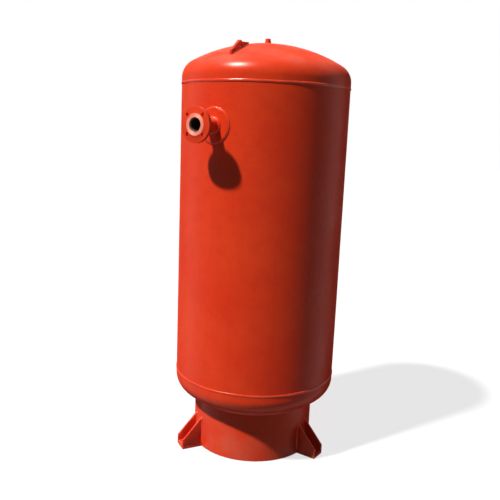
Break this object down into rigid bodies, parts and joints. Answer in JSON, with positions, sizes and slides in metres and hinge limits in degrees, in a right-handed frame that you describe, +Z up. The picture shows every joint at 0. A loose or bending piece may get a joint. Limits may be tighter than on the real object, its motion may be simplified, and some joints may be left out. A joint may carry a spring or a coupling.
{
  "type": "air receiver tank",
  "caption": "Upright welded air receiver on a skirt with feet, flanged inlet and outlet nozzles, lifting lugs, and a drain line with a ball valve.",
  "frame": {"origin": "on the tank's axis at floor level, under the skirt", "axes": "+Z up along the tank's axis; the upper outlet nozzle faces -Y and the lower inlet nozzle faces +Y; +X is to the right seen from the outlet side"},
  "size_m": [0.8044, 1.06, 1.9964],
  "materials": {
    "tank_paint": "semi-gloss red-orange enamel on steel plate, lightly soiled",
    "weld_paint": "the same enamel over rippled weld beads",
    "zinc": "dull zinc plate on steel pipe fittings and the lever",
    "brass": "machined brass, slightly dulled",
    "chrome": "polished chrome plate on the ball",
    "seal": "white low-friction seal plastic",
    "grip": "soft red vinyl sleeve"
  },
  "bodies": {
    "tank": {"bottom_head": "tank_paint", "bottom_seam_weld": "weld_paint", "drain_coupling": "tank_paint", "drain_coupling_weld": "weld_paint", "drain_elbow": "zinc", "drain_nipple": "zinc", "drain_pipe": "zinc", "front_left_foot_left_gusset": "tank_paint", "front_left_foot_plate": "tank_paint", "front_left_foot_right_gusset": "tank_paint", "front_lifting_lug": "tank_paint", "inlet_face_weld": "weld_paint", "inlet_flange": "tank_paint", "inlet_flange_weld": "weld_paint", "inlet_neck": "tank_paint", "inlet_neck_weld": "weld_paint", "inlet_pad": "tank_paint", "inlet_pad_weld": "weld_paint", "long_seam_weld": "weld_paint", "outlet_face_weld": "weld_paint", "outlet_flange": "tank_paint", "outlet_flange_weld": "weld_paint", "outlet_neck": "tank_paint", "outlet_neck_weld": "weld_paint", "outlet_pad": "tank_paint", "outlet_pad_weld": "weld_paint", "rear_left_foot_left_gusset": "tank_paint", "rear_left_foot_plate": "tank_paint", "rear_left_foot_right_gusset": "tank_paint", "rear_lifting_lug": "tank_paint", "right_foot_left_gusset": "tank_paint", "right_foot_plate": "tank_paint", "right_foot_right_gusset": "tank_paint", "shell": "tank_paint", "skirt": "tank_paint", "skirt_weld": "weld_paint", "top_coupling": "tank_paint", "top_coupling_weld": "weld_paint", "top_head": "tank_paint", "top_plug": "tank_paint", "top_seam_weld": "weld_paint", "valve_body": "brass", "valve_end_cap": "brass", "valve_gland_nut": "brass", "valve_packing": "seal", "valve_seat_in": "seal", "valve_seat_out": "seal"},
    "drain_handle": {"valve_ball": "chrome", "valve_stem": "brass", "valve_lever": "zinc", "valve_lever_nut": "zinc", "valve_lever_sleeve": "grip"}
  },
  "joints": [
    {"name": "drain_valve_turn", "type": "hinge", "parent": "tank", "child": "drain_handle", "pos_m": [0, 0.352, 0.11685], "axis": [0, 0, 1], "range_deg": [0, 90]}
  ]
}
